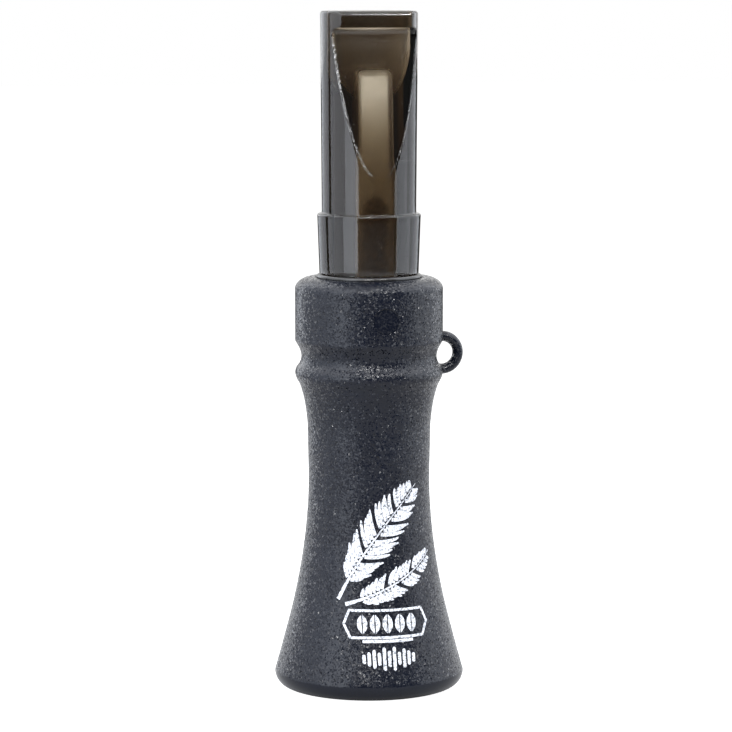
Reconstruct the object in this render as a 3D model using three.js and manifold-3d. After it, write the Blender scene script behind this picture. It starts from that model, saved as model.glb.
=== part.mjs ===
// Mouth-blown crow call: a flared barrel, a mouthpiece that plugs into it, and the reed parts inside.
// Millimetres, +Z up along the barrel's axis, origin on that axis in the plane of the bell's rim.
// The front of the call, with its printed side, its lip bevel and its reed, faces -Y.
// The lanyard loop stands out towards +X.
import * as THREE from 'three';
import { mergeVertices } from 'three/addons/utils/BufferGeometryUtils.js';
import Module from 'manifold-3d';

const wasm = await Module();
wasm.setup();

// Facets, and how far the cutting and joining bodies run past what they meet.
const ROUND_STEPS = 48;
const SMALL_ROUND_STEPS = 24;
const MERGE_DISTANCE = 1e-4;
const REACH = 12;
const OVERRUN = 1;

// Barrel, outside: bell rim, flare, ridge, groove, grip and top edge.
const BELL_R = 16.83;
const RIM_ROUND = 2.73;
const RIM_FLAT_INNER_R = 13.4;
const FLARE_OUTSIDE = [[15.38, 8], [13.19, 16.7], [11.65, 25.4], [10.85, 34.1], [10.85, 42.7], [11.05, 48.4],
  [11.82, 52.7]];
const RIDGE = [[12.31, 54.2], [12.87, 55.25], [13.1, 56.2], [12.9, 57.05], [12.35, 57.8]];
const GROOVE = [[12.0, 58.8], [12.2, 60.2], [12.75, 61.3]];
const GRIP_R = 13.08;
const GRIP_BOTTOM_Z = 61.9;
const BARREL_TOP_Z = 73.1;
const SHOULDER_WIDTH = 3.0;
const SHOULDER_HEIGHT = 2.1;

// Barrel, inside: tapered socket for the mouthpiece, straight throat, bell.
const FIT_GAP = 0.15;
const SOCKET_BOTTOM_Z = 59.5;
const SOCKET_MOUTH_R = 9.6;
const SOCKET_CHAMFER = 0.9;
const THROAT_R = 7.4;
const THROAT_BOTTOM_Z = 42;
const FLARE_INSIDE = [[7.7, 32], [8.8, 22], [10.6, 13], [12.2, 5]];
const RIM_INNER_R = 12.8;
const RIM_INNER_ROUND = 0.6;

// Lanyard loop, moulded with the barrel, and the shallow dimple above it.
const LOOP_X = 13.3;
const LOOP_Z = 59.3;
const LOOP_R = 3.85;
const LOOP_HOLE_R = 2.0;
const LOOP_HALF_THICK = 1.2;
const LOOP_EDGE_ROUND = 0.5;
const DIMPLE_R = 2.3;
const DIMPLE_Z = 66.4;
const DIMPLE_DEPTH = 0.3;

// Mouthpiece: stopper that plugs into the barrel, seal groove, collar and tube.
const STOPPER_BOTTOM_Z = 60;
const STOPPER_BOTTOM_R = 8.25;
const STOPPER_TOP_R = 8.55;
const STOPPER_CHAMFER = 0.6;
const SEAL_Z = 73.2;
const SEAL_WIRE_R = 0.5;
const SEAL_R = 8.78;
const SEAL_GROOVE_R = 8.18;
const SEAL_GROOVE_HALF = 0.65;
const COLLAR_BOTTOM_R = 8.76;
const COLLAR_TOP_R = 9.12;
const COLLAR_TOP_Z = 84.4;
const COLLAR_ROUND = 0.4;
const TUBE_BOTTOM_R = 8.32;
const TUBE_TOP_R = 8.58;
const CALL_TOP_Z = 119.8;
const END_ROUND = 0.6;

// Mouthpiece front, as [distance in front of the axis, z]: sloping bevel, cove under the lip, lip.
const BEVEL_SLOPE_DEG = 10.36;
const BEVEL_TOP = [3.85, 115.3];
const COVE_CORNER = [3.6, 116.75];
const LIP_BOTTOM = [5.7, 116.95];
const LIP_TOP_Z = 118.5;
const LIP_CREST_DEPTH = 4.65;
const LIP_CREST_DROP = 0.1;

// Mouthpiece, inside: breath duct, reed chamber, bore for the tone board's plug. Pairs are [distance, z].
const DUCT_HALF_X = 6.9;
const DUCT_HALF_Y = [[1.2, 116.6], [1.95, 114.5], [1.95, 109.5], [0.6, 103]];
const DUCT_CENTRE_Y = -1.15;
const DUCT_WIDE_Z = 113.5;
const DUCT_END_Z = 103;
const DUCT_TIP_FULLNESS = 0.7;
const DUCT_TIP_HEIGHT = 5;
const CHAMBER_HALF_X = 3.2;
const CHAMBER_FRONT = [[4.8, 104.5], [4.0, 109.5]];
const CHAMBER_BACK_Y = 3.2;
const CHAMBER_TOP_Z = 109.5;
const CHAMBER_TOP_ROUND = 0.9;
const BOARD_BORE_R = 6.2;
const BOARD_BORE_TOP_Z = 73.5;

// Tone board: round plug, spine with a ramped face, trough and outlet.
const PLUG_R = 6.05;
const PLUG_BOTTOM_Z = 61.5;
const PLUG_TOP_Z = 73.2;
const SPINE_HALF_X = 2.75;
const SPINE_ROUND_R = 3.75;
const SPINE_BACK_Y = 2.8;
const SPINE_TOP_Z = 109;
const SPINE_TIP_ROUND = 0.9;
const BED_Y = -2.95;
const FACE_SLOPE_DEG = 2.0;
const TROUGH_HALF_X = 1.3;
const TROUGH_BACK_Y = 0.6;
const TROUGH_Z = [82.5, 105.2];
const OUTLET_R = 2.2;
const OUTLET_Y = -0.4;
const OUTLET_TOP_Z = 84;

// Reed and the wedge that clamps it.
const REED_HALF_X = 2.45;
const REED_BACK_Y = -3.1;
const REED_THICK = 0.35;
const REED_Z = [80.2, 108.4];
const REED_TIP_ROUND = 0.8;
const REED_PIVOT_Z = 84;
const WEDGE_HALF_X = 1.55;
const WEDGE_Z = [73.5, 87.3];
const WEDGE_BACK_Y = -3.65;
const WEDGE_FRONT_Y = -4.55;

// Planes that an outline can be drawn in: its own x and y axes in the part's frame.
const FRONT_PLANE = new THREE.Matrix4().makeBasis(
  new THREE.Vector3(1, 0, 0), new THREE.Vector3(0, 0, 1), new THREE.Vector3(0, -1, 0));
const SIDE_PLANE = new THREE.Matrix4().makeBasis(
  new THREE.Vector3(0, -1, 0), new THREE.Vector3(0, 0, 1), new THREE.Vector3(-1, 0, 0));

const radians = THREE.MathUtils.degToRad;

// A closed three.js geometry as a solid that can be joined and cut.
function solid(geometry) {
  geometry.deleteAttribute('normal');
  geometry.deleteAttribute('uv');
  const merged = mergeVertices(geometry, MERGE_DISTANCE);
  const index = merged.index.array;
  const triangles = [];
  for (let i = 0; i < index.length; i += 3) {
    const [a, b, c] = [index[i], index[i + 1], index[i + 2]];
    if (a !== b && b !== c && c !== a) {
      triangles.push(a, b, c);
    }
  }
  return new wasm.Manifold(new wasm.Mesh({
    numProp: 3,
    vertProperties: new Float32Array(merged.attributes.position.array),
    triVerts: new Uint32Array(triangles),
  }));
}

// A solid as a named mesh in its own colour.
function piece(name, body, colour, roughness) {
  const mesh = body.getMesh();
  const geometry = new THREE.BufferGeometry();
  geometry.setAttribute('position', new THREE.BufferAttribute(mesh.vertProperties, 3));
  geometry.setIndex(new THREE.BufferAttribute(mesh.triVerts, 1));
  geometry.computeVertexNormals();
  const material = new THREE.MeshStandardMaterial({ color: colour, roughness, metalness: 0 });
  const result = new THREE.Mesh(geometry, material);
  result.name = name;
  return result;
}

function point(pair) {
  return new THREE.Vector2(pair[0], pair[1]);
}

// Points along an arc about [x, y], without its first point.
function arc(centre, radius, fromDeg, toDeg, steps) {
  const points = [];
  for (let i = 1; i <= steps; i += 1) {
    const angle = radians(fromDeg + (toDeg - fromDeg) * i / steps);
    points.push([centre[0] + radius * Math.cos(angle), centre[1] + radius * Math.sin(angle)]);
  }
  return points;
}

// The same with its first point.
function wholeArc(centre, radius, fromDeg, toDeg, steps) {
  return [...arc(centre, radius, fromDeg, fromDeg, 1), ...arc(centre, radius, fromDeg, toDeg, steps)];
}

// A smooth curve through the given points, without its first point.
function smooth(through, steps) {
  const curve = new THREE.CatmullRomCurve3(through.map(([x, y]) => new THREE.Vector3(x, y, 0)));
  return curve.getSpacedPoints(steps).slice(1).map((p) => [p.x, p.y]);
}

// A closed [radius, z] outline turned about the Z axis. The outline runs anticlockwise.
function turned(outline, steps = ROUND_STEPS) {
  const closed = [...outline, outline[0]].map(point);
  return solid(new THREE.LatheGeometry(closed, steps).rotateX(Math.PI / 2));
}

// A cylinder along Z.
function rod(radius, fromZ, toZ, steps = SMALL_ROUND_STEPS) {
  return turned([[0, fromZ], [radius, fromZ], [radius, toZ], [0, toZ]], steps);
}

// An outline drawn in a plane and extruded from one distance to another along that plane's normal.
function extruded(outline, plane, from, to) {
  const shape = new THREE.Shape(outline.map(point));
  const geometry = new THREE.ExtrudeGeometry(shape, { depth: to - from, bevelEnabled: false });
  return solid(geometry.translate(0, 0, from).applyMatrix4(plane));
}

function barrel() {
  const flareOutside = smooth([[BELL_R, RIM_ROUND], ...FLARE_OUTSIDE], 16);
  const groove = smooth([FLARE_OUTSIDE.at(-1), ...RIDGE, ...GROOVE, [GRIP_R, GRIP_BOTTOM_Z]], 20);
  const shoulderZ = BARREL_TOP_Z - SHOULDER_HEIGHT;
  const shoulder = arc([0, 0], 1, 0, 90, 5)
    .map(([x, y]) => [GRIP_R - SHOULDER_WIDTH * (1 - x), shoulderZ + SHOULDER_HEIGHT * y]);
  const socketTopZ = BARREL_TOP_Z - SOCKET_CHAMFER;
  const flareInside = smooth([[THROAT_R, THROAT_BOTTOM_Z], ...FLARE_INSIDE, [RIM_INNER_R, RIM_INNER_ROUND]], 10);
  const body = turned([
    [RIM_FLAT_INNER_R, 0],
    [BELL_R - RIM_ROUND, 0],
    ...arc([BELL_R - RIM_ROUND, RIM_ROUND], RIM_ROUND, -90, 0, 6),
    ...flareOutside,
    ...groove,
    [GRIP_R, shoulderZ],
    ...shoulder,
    [SOCKET_MOUTH_R, BARREL_TOP_Z],
    [SOCKET_MOUTH_R - SOCKET_CHAMFER, socketTopZ],
    [STOPPER_BOTTOM_R + FIT_GAP, SOCKET_BOTTOM_Z],
    [THROAT_R, SOCKET_BOTTOM_Z],
    [THROAT_R, THROAT_BOTTOM_Z],
    ...flareInside,
    ...arc([RIM_INNER_R + RIM_INNER_ROUND, RIM_INNER_ROUND], RIM_INNER_ROUND, 180, 270, 3).slice(0, -1),
  ]);
  const dimple = rod(DIMPLE_R, 0, REACH).rotate([90, 0, 0])
    .translate([0, -(GRIP_R - DIMPLE_DEPTH), DIMPLE_Z]);
  return body.subtract(dimple).add(lanyardLoop());
}

// A flat ring whose hole runs along Y, with its section's edges rounded.
function lanyardLoop() {
  const inner = LOOP_HOLE_R + LOOP_EDGE_ROUND;
  const outer = LOOP_R - LOOP_EDGE_ROUND;
  const side = LOOP_HALF_THICK - LOOP_EDGE_ROUND;
  const section = [
    ...wholeArc([outer, -side], LOOP_EDGE_ROUND, -90, 0, 3),
    ...wholeArc([outer, side], LOOP_EDGE_ROUND, 0, 90, 3),
    ...wholeArc([inner, side], LOOP_EDGE_ROUND, 90, 180, 3),
    ...wholeArc([inner, -side], LOOP_EDGE_ROUND, 180, 270, 3),
  ].map(point);
  const ring = new THREE.LatheGeometry([...section, section[0]], SMALL_ROUND_STEPS);
  return solid(ring).translate([LOOP_X, 0, LOOP_Z]);
}

function mouthpiece() {
  const grooveBottom = SEAL_Z - SEAL_GROOVE_HALF;
  const grooveTop = SEAL_Z + SEAL_GROOVE_HALF;
  const outside = turned([
    [0, STOPPER_BOTTOM_Z],
    [STOPPER_BOTTOM_R - STOPPER_CHAMFER, STOPPER_BOTTOM_Z],
    [STOPPER_BOTTOM_R, STOPPER_BOTTOM_Z + STOPPER_CHAMFER],
    [STOPPER_TOP_R, grooveBottom],
    [SEAL_GROOVE_R, grooveBottom],
    [SEAL_GROOVE_R, grooveTop],
    [COLLAR_BOTTOM_R, grooveTop],
    [COLLAR_TOP_R, COLLAR_TOP_Z - COLLAR_ROUND],
    ...arc([COLLAR_TOP_R - COLLAR_ROUND, COLLAR_TOP_Z - COLLAR_ROUND], COLLAR_ROUND, 0, 90, 3),
    [TUBE_BOTTOM_R, COLLAR_TOP_Z],
    [TUBE_TOP_R, CALL_TOP_Z - END_ROUND],
    ...arc([TUBE_TOP_R - END_ROUND, CALL_TOP_Z - END_ROUND], END_ROUND, 0, 90, 3),
    [0, CALL_TOP_Z],
  ]);
  const bore = rod(BOARD_BORE_R, STOPPER_BOTTOM_Z - OVERRUN, BOARD_BORE_TOP_Z, ROUND_STEPS);
  return outside.subtract(lipCut()).subtract(airway()).subtract(bore);
}

// What is cut away in front of the bevel, the cove and the lip.
function lipCut() {
  const slope = Math.tan(radians(BEVEL_SLOPE_DEG));
  const bevelBottomZ = BEVEL_TOP[1] - (REACH - BEVEL_TOP[0]) / slope;
  const cove = new THREE.QuadraticBezierCurve(point(BEVEL_TOP), point(COVE_CORNER), point(LIP_BOTTOM));
  const crest = new THREE.QuadraticBezierCurve(point([LIP_BOTTOM[0], LIP_TOP_Z]),
    point([LIP_BOTTOM[0], CALL_TOP_Z - LIP_CREST_DROP]), point([LIP_CREST_DEPTH, CALL_TOP_Z]));
  const outline = [
    [REACH, bevelBottomZ],
    [REACH, CALL_TOP_Z + OVERRUN],
    [LIP_CREST_DEPTH, CALL_TOP_Z + OVERRUN],
    ...crest.getPoints(4).reverse().map((p) => [p.x, p.y]),
    ...cove.getPoints(4).reverse().map((p) => [p.x, p.y]),
  ];
  return extruded(outline, SIDE_PLANE, -REACH, REACH);
}

// The reed chamber, and the breath duct: an oval slot that narrows downwards into it.
function airway() {
  const bottomZ = STOPPER_BOTTOM_Z - OVERRUN;
  const inset = CHAMBER_HALF_X - CHAMBER_TOP_ROUND;
  const roundZ = CHAMBER_TOP_Z - CHAMBER_TOP_ROUND;
  const chamberFront = extruded([
    [-CHAMBER_HALF_X, bottomZ],
    [CHAMBER_HALF_X, bottomZ],
    ...wholeArc([inset, roundZ], CHAMBER_TOP_ROUND, 0, 90, 4),
    ...arc([-inset, roundZ], CHAMBER_TOP_ROUND, 90, 180, 4),
  ], FRONT_PLANE, -REACH, REACH);
  const chamberSide = extruded([
    [-CHAMBER_BACK_Y, bottomZ],
    [CHAMBER_FRONT[0][0], bottomZ],
    ...CHAMBER_FRONT,
    [CHAMBER_FRONT.at(-1)[0], CHAMBER_TOP_Z + OVERRUN],
    [-CHAMBER_BACK_Y, CHAMBER_TOP_Z + OVERRUN],
  ], SIDE_PLANE, -REACH, REACH);
  return chamberFront.intersect(chamberSide).add(duct());
}

// The duct's oval, cut to its taper as seen from the front and to its thickness as seen from the side.
function duct() {
  const topZ = CALL_TOP_Z + OVERRUN;
  const side = new THREE.CubicBezierCurve(
    point([0, DUCT_END_Z]),
    point([DUCT_HALF_X * DUCT_TIP_FULLNESS, DUCT_END_Z]),
    point([DUCT_HALF_X, DUCT_END_Z + DUCT_TIP_HEIGHT]),
    point([DUCT_HALF_X, DUCT_WIDE_Z]),
  );
  const right = [...side.getPoints(9).map((p) => [p.x, p.y]), [DUCT_HALF_X, topZ]];
  const left = right.slice(1).map(([x, z]) => [-x, z]).reverse();
  const taper = extruded([...right, ...left], FRONT_PLANE, -REACH, REACH);
  const front = [[DUCT_HALF_Y[0][0], topZ], ...DUCT_HALF_Y].map(([half, z]) => [-DUCT_CENTRE_Y + half, z]);
  const back = [[DUCT_HALF_Y[0][0], topZ], ...DUCT_HALF_Y].map(([half, z]) => [-DUCT_CENTRE_Y - half, z]);
  const thickness = extruded([...front.reverse(), ...back], SIDE_PLANE, -REACH, REACH);
  const thickest = Math.max(...DUCT_HALF_Y.map(([half]) => half));
  const oval = new THREE.EllipseCurve(0, 0, DUCT_HALF_X, thickest).getPoints(ROUND_STEPS).slice(0, -1);
  const slot = new THREE.ExtrudeGeometry(new THREE.Shape(oval),
    { depth: topZ - DUCT_END_Z, bevelEnabled: false });
  return solid(slot.translate(0, DUCT_CENTRE_Y, DUCT_END_Z)).intersect(taper).intersect(thickness);
}

function toneBoard() {
  const slope = Math.tan(radians(FACE_SLOPE_DEG));
  const tipY = BED_Y + (SPINE_TOP_Z - REED_PIVOT_Z) * slope;
  const rootZ = PLUG_TOP_Z - OVERRUN;
  const sideView = extruded([
    [-SPINE_BACK_Y, rootZ],
    [-BED_Y, rootZ],
    [-BED_Y, REED_PIVOT_Z],
    [-tipY, SPINE_TOP_Z],
    [-SPINE_BACK_Y, SPINE_TOP_Z],
  ], SIDE_PLANE, -REACH, REACH);
  const frontView = extruded([
    [-SPINE_HALF_X, rootZ],
    [SPINE_HALF_X, rootZ],
    ...wholeArc([SPINE_HALF_X - SPINE_TIP_ROUND, SPINE_TOP_Z - SPINE_TIP_ROUND], SPINE_TIP_ROUND, 0, 90, 4),
    ...wholeArc([SPINE_TIP_ROUND - SPINE_HALF_X, SPINE_TOP_Z - SPINE_TIP_ROUND], SPINE_TIP_ROUND, 90, 180, 4),
  ], FRONT_PLANE, -REACH, REACH);
  const spine = sideView.intersect(frontView).intersect(rod(SPINE_ROUND_R, rootZ, SPINE_TOP_Z));
  const plug = rod(PLUG_R, PLUG_BOTTOM_Z, PLUG_TOP_Z, ROUND_STEPS);
  const trough = roundEndedSlot(TROUGH_HALF_X, TROUGH_Z, -TROUGH_BACK_Y, REACH);
  const outlet = rod(OUTLET_R, PLUG_BOTTOM_Z - OVERRUN, OUTLET_TOP_Z).translate([0, OUTLET_Y, 0]);
  return plug.add(spine).subtract(trough).subtract(outlet);
}

// A slot along Z with both ends round, seen from the front.
function roundEndedSlot(halfX, [fromZ, toZ], from, to) {
  return extruded([
    ...wholeArc([0, toZ - halfX], halfX, 0, 180, 6),
    ...wholeArc([0, fromZ + halfX], halfX, 180, 360, 6),
  ], FRONT_PLANE, from, to);
}

function reed() {
  const [fromZ, toZ] = REED_Z;
  const inset = REED_HALF_X - REED_TIP_ROUND;
  return extruded([
    [-REED_HALF_X, fromZ],
    [REED_HALF_X, fromZ],
    ...wholeArc([inset, toZ - REED_TIP_ROUND], REED_TIP_ROUND, 0, 90, 4),
    ...wholeArc([-inset, toZ - REED_TIP_ROUND], REED_TIP_ROUND, 90, 180, 4),
  ], FRONT_PLANE, -REED_BACK_Y, -REED_BACK_Y + REED_THICK);
}

function reedWedge() {
  const [fromZ, toZ] = WEDGE_Z;
  return extruded([
    [-WEDGE_HALF_X, fromZ],
    [WEDGE_HALF_X, fromZ],
    ...wholeArc([0, toZ - WEDGE_HALF_X], WEDGE_HALF_X, 0, 180, 10),
  ], FRONT_PLANE, -WEDGE_BACK_Y, -WEDGE_FRONT_Y);
}

function sealRing() {
  return solid(new THREE.TorusGeometry(SEAL_R, SEAL_WIRE_R, 10, ROUND_STEPS).translate(0, 0, SEAL_Z));
}

const call = new THREE.Group();
call.add(
  piece('barrel', barrel(), 0x3c4046, 0.55),
  piece('seal_ring', sealRing(), 0x101010, 0.3),
  piece('mouthpiece', mouthpiece(), 0x4a4641, 0.12),
  piece('tone_board', toneBoard(), 0xe6dcc4, 0.45),
  piece('reed', reed(), 0xefe8d6, 0.35),
  piece('reed_wedge', reedWedge(), 0x8a7358, 0.8),
);

export default call;
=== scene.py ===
"""Mouth-blown crow call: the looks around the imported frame.

Metres in Blender, millimetres in the outlines here. +Z up along the barrel, the printed front faces -Y.
"""
import math

import bmesh
import bpy
import numpy as np
from mathutils import Matrix, Vector, noise


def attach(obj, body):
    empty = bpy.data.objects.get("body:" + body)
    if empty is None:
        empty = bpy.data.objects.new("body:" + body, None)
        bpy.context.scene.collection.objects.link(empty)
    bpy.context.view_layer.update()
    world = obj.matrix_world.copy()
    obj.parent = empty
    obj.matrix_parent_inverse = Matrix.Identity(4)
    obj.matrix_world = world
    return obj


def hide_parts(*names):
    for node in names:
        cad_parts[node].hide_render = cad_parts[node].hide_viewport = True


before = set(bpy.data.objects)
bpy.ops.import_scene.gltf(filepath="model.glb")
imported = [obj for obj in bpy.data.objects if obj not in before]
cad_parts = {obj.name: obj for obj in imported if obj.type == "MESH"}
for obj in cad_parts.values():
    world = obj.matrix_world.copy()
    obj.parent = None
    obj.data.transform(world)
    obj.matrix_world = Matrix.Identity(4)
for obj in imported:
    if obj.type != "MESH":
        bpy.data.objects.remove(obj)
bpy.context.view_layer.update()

MM = 0.001

# Camera and studio. Angles are about +Z, from the direction of the camera, towards the picture's right.
CAMERA_AZIMUTH = math.radians(-13.5)
CAMERA_PITCH = math.radians(6.885)
CAMERA_DISTANCE = 0.578
CAMERA_HEIGHT = 0.127
CAMERA_SIDESTEP = -0.00053
CAMERA_LENS = 161.7
CAMERA_REACH = (0.01, 20)
SENSOR_WIDTH = 36.0
SOFTBOX_DISTANCE = 0.3
SOFTBOX_HEIGHT = 0.6
SOFTBOX_CENTRE_Z = 0.3
SOFTBOXES = {  # from angle, to angle, radiance
    "left": (-25, -60, 3.8),
    "far_left": (-61, -104, 1.9),
    "behind_left": (-112, -155, 1.3),
    "right": (64, 104, 2.4),
    "behind_right": (104, 147, 1.4),
}
LAMPS = {  # angle, elevation, size, radiance
    "lamp_front": (-3, 42, 0.11, 52),
    "lamp_right": (36, 42, 0.11, 34),
    "lamp_low": (-4, 28, 0.3, 4),
}
LAMP_DISTANCE = 0.7
STUDIO_TINT = (0.93, 0.98, 1.06)
CEILING = [(0.02, 0.06), (0.34, 0.2), (0.42, 0.9), (0.8, 1.9)]  # sine of elevation, radiance
BACKDROP = [(0.2, 0.06), (0.75, 1.0)]  # cosine of the angle from straight behind, radiance
FLOOR_HALF = 3.0
# The floor's colour is painted darker further away: painted shade.
FLOOR_NEAR = 0.42
FLOOR_FAR = 0.08
FLOOR_FADE = (0.2, 0.6)
FLOOR_ROUGHNESS = 0.9
WHITE = (1, 1, 1, 1)

# Barrel plastic and print ink. The size of a pattern is given as its count per millimetre.
GRAIN_PER_MM = 2.5
PITS_PER_MM = 3.0
PITS_SHARE = 0.5
GRAIN_BUMP = 0.06
FACETS_PER_MM = 4.0
FACET_RARITY = 3.0
FACET_TILT = 3.2
BARREL_COLOURS = ((0.0025, 0.0035, 0.0075, 1), (0.004, 0.0055, 0.0105, 1))
BARREL_TONES_PER_MM = 0.16
BARREL_GLOSS_PER_MM = 2.7
BARREL_ROUGHNESS = (0.06, 0.14)
BARREL_IOR = 1.35
INK_COLOUR = (0.6, 0.62, 0.67, 1)
INK_MISSED_COLOUR = (0.1, 0.11, 0.13, 1)
INK_MISSES_PER_MM = 3.0
INK_BUMP = 0.05
INK_ROUGHNESS = 0.5

# Smoke plastic of the mouthpiece.
SMOKE_TINT = (0.37, 0.28, 0.14, 1)
SMOKE_DENSITY = 640
SMOKE_IOR = 1.49
CORE_ROUGHNESS = 0.5
SCUFFS_PER_MM = 0.8
SCUFF_ROUGHNESS = (0.05, 0.1)
# The worn edge is painted as a pale highlight, broken into specks.
CHIPS_AND_GLINTS_PER_MM = 4.0
DUST_PER_MM = 1.1
DUST_RADII = (0.03, 0.055)
DUST_STRENGTH = 0.8
# Pale colour of the dust and of the worn edge's painted highlight.
DUST_WEAR_AND_HIGHLIGHT_COLOUR = (0.62, 0.62, 0.6, 1)

# Plain plastics and rubbers.
PLASTIC_IOR = 1.5
PLASTIC_TONES_PER_MM = 0.5
PLASTIC_GLOSS_PER_MM = 2.0
PLASTIC_BUMPS_PER_MM = 5.0
PLASTIC_SPREAD = (-0.06, 0.08)  # of the roughness
SEAL_LOOK = {"light": (0.012, 0.012, 0.013, 1), "dark": (0.006, 0.006, 0.006, 1), "roughness": 0.22}
IVORY_LOOK = {"light": (0.8, 0.75, 0.62, 1), "dark": (0.74, 0.68, 0.54, 1), "roughness": 0.42}
FILM_LOOK = {"light": (0.86, 0.83, 0.74, 1), "dark": (0.82, 0.79, 0.7, 1), "roughness": 0.38}
WEDGE_LOOK = {"light": (0.34, 0.27, 0.18, 1), "dark": (0.28, 0.22, 0.15, 1), "roughness": 0.7,
              "bump_mm": 0.05}

# Columns around an axis, points around a section, and how far cutting bodies run past what they cut.
BARREL_COLUMNS = 288
MOUTHPIECE_COLUMNS = 240
COLUMN_CROWDING = 0.35  # towards the front
SEAL_COLUMNS = 160
LOOP_COLUMNS = 96
SOLID_COLUMNS = 96
WIRE_POINTS = 24
DIMPLE_POINTS = 64
OUTSIDE_STEP = 0.3
INSIDE_STEP = 1.2
CUTTER_REACH = 12
CUTTER_OVERRUN = 1
LONGEST_ROUND = 0.45  # of a side's length

# Barrel outside, [radius, z].
BELL_R = 16.83
RIM_ROUND = 2.73
FLARE_OUTSIDE = [(15.38, 8), (13.19, 16.7), (11.65, 25.4), (10.85, 34.1), (10.85, 42.7), (11.05, 48.4),
                 (11.82, 52.7)]
RIDGE = [(12.31, 54.2), (12.87, 55.25), (13.1, 56.2), (12.9, 57.05), (12.35, 57.8)]
GROOVE = [(12.0, 58.8), (12.2, 60.2), (12.75, 61.3)]
GRIP_R = 13.08
GRIP_BOTTOM_Z = 61.9
BARREL_TOP_Z = 73.1
SHOULDER_WIDTH = 3.0
SHOULDER_HEIGHT = 2.1
GRAIN_FROM_Z = (2.6, 3.4)
GRAIN_DEPTH = 0.05

# Barrel inside.
STOPPER_GAP = 0.15
SOCKET_BOTTOM_Z = 59.5
SOCKET_MOUTH_R = 9.6
SOCKET_CHAMFER = 0.9
THROAT_R = 7.4
THROAT_BOTTOM_Z = 42
FLARE_INSIDE = [(7.7, 32), (8.8, 22), (10.6, 13), (12.2, 5)]
RIM_INNER_R = 12.8
RIM_INNER_ROUND = 0.6

# Lanyard loop and dimple.
LOOP_X = 13.3
LOOP_Z = 59.3
LOOP_R = 3.85
LOOP_HOLE_R = 2.0
LOOP_HALF_THICK = 1.2
DIMPLE_R = 2.3
DIMPLE_Z = 66.4
DIMPLE_DEPTH = 0.3
DIMPLE_EDGE = 0.1
DIMPLE_TEXTURE = 0.35  # share of the grain's relief that is left in it

# Mouthpiece outside.
STOPPER_BOTTOM_Z = 60
STOPPER_BOTTOM_R = 8.25
STOPPER_TOP_R = 8.55
STOPPER_CHAMFER = 0.6
SEAL_Z = 73.2
SEAL_WIRE_R = 0.5
SEAL_R = 8.78
SEAL_GROOVE_R = 8.18
SEAL_GROOVE_HALF = 0.65
COLLAR_BOTTOM_R = 8.76
COLLAR_TOP_R = 9.12
COLLAR_TOP_Z = 84.4
COLLAR_ROUND = 0.4
COLLAR_FOOT_ROUND = 0.1
TUBE_BOTTOM_R = 8.32
TUBE_TOP_R = 8.58
TUBE_FOOT_ROUND = 0.15
CALL_TOP_Z = 119.8
END_ROUND = 0.6

# Mouthpiece front, as (distance in front of the axis, z).
BEVEL_SLOPE = math.tan(math.radians(10.36))
BEVEL_TOP = (3.85, 115.3)
COVE_CORNER = (3.6, 116.75)
LIP_BOTTOM = (5.7, 116.95)
LIP_TOP_Z = 118.5
LIP_CREST_DEPTH = 4.65
CUT_FROM_Z = 84.6
EDGE_BLEND = 0.3
LEAST_COSINE = 0.05
COVE_POINTS = 30
CREST_POINTS = 12
# Pale marks on the bevel's border: wear with a painted highlight, brighter at the left.
WEAR_AND_HIGHLIGHT_WIDTH = 0.08
WEAR_AND_HIGHLIGHT_FADING = 0.4
WEAR_AND_HIGHLIGHT_AT_RIGHT = 0.5
BEVEL_WEAR_AND_HIGHLIGHT_Z = (91, 115)

# Mouthpiece inside.
DUCT_HALF_X = 6.9
DUCT_HALF_Y = [(103, 0.6), (109.5, 1.95), (114.5, 1.95), (116.6, 1.2)]
DUCT_CENTRE_Y = -1.15
DUCT_WIDE_Z = 113.5
DUCT_END_Z = 103
DUCT_MOUTH_ROUND = 0.45
DUCT_POWER = 1.8
CHAMBER_HALF_X = 3.2
CHAMBER_FRONT = [(104.5, 4.8), (109.5, 4.0)]
CHAMBER_BACK = 3.2
CHAMBER_TOP_Z = 109.5
CHAMBER_TOP_ROUND = 0.9
CHAMBER_POWER = 14
AIRWAY_BLEND = 0.12
BOARD_BORE_R = 6.2
BOARD_BORE_TOP_Z = 73.5

# Tone board, reed and wedge.
PLUG_R = 6.05
PLUG_BOTTOM_Z = 61.5
PLUG_TOP_Z = 73.2
PLUG_EDGE = 0.35
SPINE_HALF_X = 2.75
SPINE_BACK_Y = 2.8
SPINE_TOP_Z = 109
SPINE_SIDE_ROUND = 0.4
SPINE_TIP_ROUND = 0.9
SPINE_ROUND_R = 3.75
SPINE_EDGE = 0.1
BED_Y = -2.95
FACE_SLOPE = math.tan(math.radians(2.0))
TROUGH_HALF_X = 1.3
TROUGH_BACK_Y = 0.6
TROUGH_Z = (82.5, 105.2)
OUTLET_R = 2.2
OUTLET_Y = -0.4
OUTLET_TOP_Z = 84
OUTLET_EDGE = 0.3
REED_HALF_X = 2.45
REED_BACK_Y = -3.1
REED_THICK = 0.35
REED_Z = (80.2, 108.4)
REED_TIP_ROUND = 0.8
REED_EDGE = 0.06
REED_PIVOT_Z = 84
WEDGE_HALF_X = 1.55
WEDGE_Z = (73.5, 87.3)
WEDGE_BACK_Y = -3.65
WEDGE_FRONT_Y = -4.55
WEDGE_EDGE = 0.2

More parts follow.
